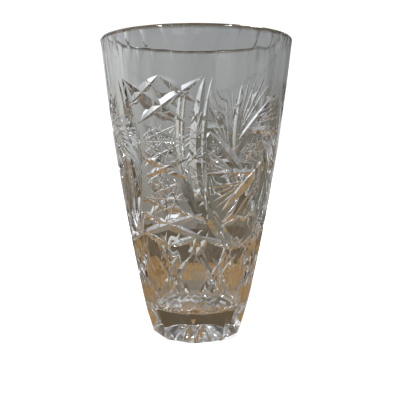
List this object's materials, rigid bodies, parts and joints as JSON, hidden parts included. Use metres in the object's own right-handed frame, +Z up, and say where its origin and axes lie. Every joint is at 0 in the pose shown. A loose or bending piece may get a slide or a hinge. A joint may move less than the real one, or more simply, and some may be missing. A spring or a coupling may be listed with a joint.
{
  "type": "vase",
  "caption": "Tall tapered vase of clear cut crystal, open at the rim, with star panels, pinwheels in U-shaped mitres, a band of leaves and a ten-sided foot under a thick base.",
  "frame": {"origin": "centre of the foot, on the surface that the vase stands on", "axes": "+Z up along the vase's axis; -Y is the front, with a star panel left of it and a pinwheel right of it"},
  "size_m": [0.158, 0.158, 0.25],
  "materials": {
    "crystal": "polished, wheel-cut"
  },
  "bodies": {
    "root": {"vase": "crystal"}
  },
  "joints": []
}
